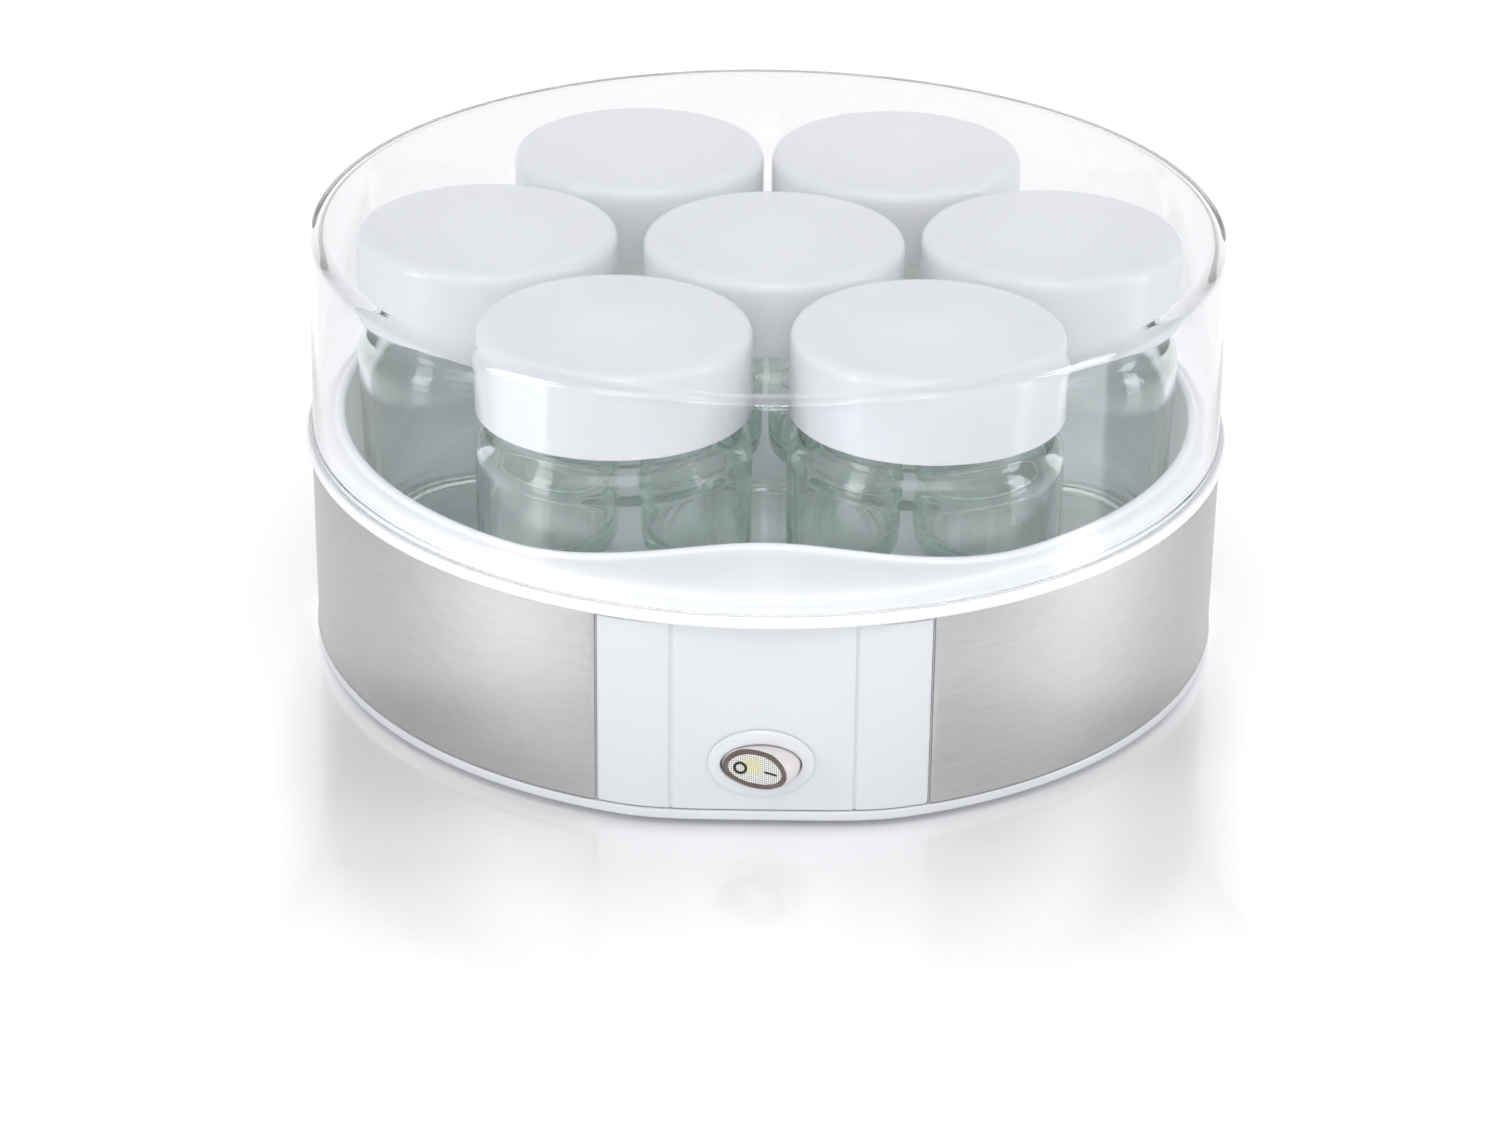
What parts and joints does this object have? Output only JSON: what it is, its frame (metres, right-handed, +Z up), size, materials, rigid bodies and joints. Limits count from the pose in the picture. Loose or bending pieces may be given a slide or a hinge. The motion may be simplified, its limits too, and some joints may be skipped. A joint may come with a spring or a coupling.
{
  "type": "yogurt maker",
  "caption": "Round electric yogurt maker: low heated base with a well, clear lift-off cover, glass jars with push-on lids, front rocker switch.",
  "frame": {"origin": "middle of the footprint, on the surface that the feet stand on", "axes": "+Z up, -Y to the front where the switch is, +X to the right seen from the front"},
  "size_m": [0.24, 0.2468, 0.114],
  "materials": {
    "white_plastic": "glossy moulded",
    "lid_plastic": "satin-gloss moulded",
    "brushed_band": "brushed along the band",
    "zinc_steel": "zinc plated",
    "aluminium": "mill",
    "brass": "stamped",
    "grey_rubber": "matt",
    "black_plastic": "matt moulded",
    "jar_glass": "clear, slightly green",
    "clear_plastic": "clear, polished",
    "smoked_plastic": "translucent, polished",
    "diffuser_plastic": "fine grid of dots",
    "lamp_glass": "clear",
    "felt": "needled felt",
    "silicone_cord": "silicone sleeve",
    "brown_wire": "insulated wire",
    "blue_wire": "insulated wire"
  },
  "bodies": {
    "base": {"upper_housing": "white_plastic", "outer_housing": "white_plastic", "front_panel": "white_plastic", "bottom_cover": "white_plastic", "steel_band": "brushed_band", "cord_gland": "grey_rubber", "foot_1": "grey_rubber", "foot_2": "grey_rubber", "foot_3": "grey_rubber", "foot_4": "grey_rubber", "housing_screw_1": "zinc_steel", "housing_screw_2": "zinc_steel", "housing_screw_3": "zinc_steel", "housing_screw_4": "zinc_steel", "heating_plate": "aluminium", "heating_cord": "silicone_cord", "insulation_pad": "felt", "thermal_fuse": "zinc_steel", "plate_screw_1": "zinc_steel", "plate_screw_2": "zinc_steel", "plate_screw_3": "zinc_steel", "switch_bezel": "white_plastic", "switch_body": "black_plastic", "switch_terminal_live": "brass", "switch_terminal_load": "brass", "switch_terminal_lamp": "brass", "terminal_block": "black_plastic", "lead_live": "brown_wire", "lead_load": "brown_wire", "lead_heater": "brown_wire", "lead_neutral": "blue_wire", "lead_lamp": "blue_wire"},
    "cover": {"cover": "clear_plastic"},
    "rocker": {"rocker": "smoked_plastic", "rocker_diffuser": "diffuser_plastic", "indicator_lamp": "lamp_glass"},
    "jar_back_left": {"jar_back_left": "jar_glass"},
    "lid_back_left": {"jar_lid_back_left": "lid_plastic"},
    "jar_back_right": {"jar_back_right": "jar_glass"},
    "lid_back_right": {"jar_lid_back_right": "lid_plastic"},
    "jar_middle_left": {"jar_middle_left": "jar_glass"},
    "lid_middle_left": {"jar_lid_middle_left": "lid_plastic"},
    "jar_centre": {"jar_centre": "jar_glass"},
    "lid_centre": {"jar_lid_centre": "lid_plastic"},
    "jar_middle_right": {"jar_middle_right": "jar_glass"},
    "lid_middle_right": {"jar_lid_middle_right": "lid_plastic"},
    "jar_front_left": {"jar_front_left": "jar_glass"},
    "lid_front_left": {"jar_lid_front_left": "lid_plastic"},
    "jar_front_right": {"jar_front_right": "jar_glass"},
    "lid_front_right": {"jar_lid_front_right": "lid_plastic"}
  },
  "joints": [
    {"name": "cover_lift", "type": "slide", "parent": "base", "child": "cover", "axis": [0, 0, 1], "range_m": [0, 0.26]},
    {"name": "rocker_tilt", "type": "hinge", "parent": "base", "child": "rocker", "pos_m": [-0.0005, -0.11583, 0.018], "axis": [0, 0, 1], "range_deg": [0, 40]},
    {"name": "jar_back_left_lift", "type": "slide", "parent": "base", "child": "jar_back_left", "axis": [0, 0, 1], "range_m": [0, 0.135]},
    {"name": "lid_back_left_lift", "type": "slide", "parent": "jar_back_left", "child": "lid_back_left", "axis": [0, 0, 1], "range_m": [0, 0.055]},
    {"name": "jar_back_right_lift", "type": "slide", "parent": "base", "child": "jar_back_right", "axis": [0, 0, 1], "range_m": [0, 0.135]},
    {"name": "lid_back_right_lift", "type": "slide", "parent": "jar_back_right", "child": "lid_back_right", "axis": [0, 0, 1], "range_m": [0, 0.055]},
    {"name": "jar_middle_left_lift", "type": "slide", "parent": "base", "child": "jar_middle_left", "axis": [0, 0, 1], "range_m": [0, 0.135]},
    {"name": "lid_middle_left_lift", "type": "slide", "parent": "jar_middle_left", "child": "lid_middle_left", "axis": [0, 0, 1], "range_m": [0, 0.055]},
    {"name": "jar_centre_lift", "type": "slide", "parent": "base", "child": "jar_centre", "axis": [0, 0, 1], "range_m": [0, 0.135]},
    {"name": "lid_centre_lift", "type": "slide", "parent": "jar_centre", "child": "lid_centre", "axis": [0, 0, 1], "range_m": [0, 0.055]},
    {"name": "jar_middle_right_lift", "type": "slide", "parent": "base", "child": "jar_middle_right", "axis": [0, 0, 1], "range_m": [0, 0.135]},
    {"name": "lid_middle_right_lift", "type": "slide", "parent": "jar_middle_right", "child": "lid_middle_right", "axis": [0, 0, 1], "range_m": [0, 0.055]},
    {"name": "jar_front_left_lift", "type": "slide", "parent": "base", "child": "jar_front_left", "axis": [0, 0, 1], "range_m": [0, 0.135]},
    {"name": "lid_front_left_lift", "type": "slide", "parent": "jar_front_left", "child": "lid_front_left", "axis": [0, 0, 1], "range_m": [0, 0.055]},
    {"name": "jar_front_right_lift", "type": "slide", "parent": "base", "child": "jar_front_right", "axis": [0, 0, 1], "range_m": [0, 0.135]},
    {"name": "lid_front_right_lift", "type": "slide", "parent": "jar_front_right", "child": "lid_front_right", "axis": [0, 0, 1], "range_m": [0, 0.055]}
  ],
  "couplings": [
    {"joint": "jar_back_left_lift", "follows": "cover_lift", "ratio": 0.5},
    {"joint": "lid_back_left_lift", "follows": "cover_lift", "ratio": 0.2},
    {"joint": "jar_back_right_lift", "follows": "cover_lift", "ratio": 0.5},
    {"joint": "lid_back_right_lift", "follows": "cover_lift", "ratio": 0.2},
    {"joint": "jar_middle_left_lift", "follows": "cover_lift", "ratio": 0.5},
    {"joint": "lid_middle_left_lift", "follows": "cover_lift", "ratio": 0.2},
    {"joint": "jar_centre_lift", "follows": "cover_lift", "ratio": 0.5},
    {"joint": "lid_centre_lift", "follows": "cover_lift", "ratio": 0.2},
    {"joint": "jar_middle_right_lift", "follows": "cover_lift", "ratio": 0.5},
    {"joint": "lid_middle_right_lift", "follows": "cover_lift", "ratio": 0.2},
    {"joint": "jar_front_left_lift", "follows": "cover_lift", "ratio": 0.5},
    {"joint": "lid_front_left_lift", "follows": "cover_lift", "ratio": 0.2},
    {"joint": "jar_front_right_lift", "follows": "cover_lift", "ratio": 0.5},
    {"joint": "lid_front_right_lift", "follows": "cover_lift", "ratio": 0.2}
  ]
}
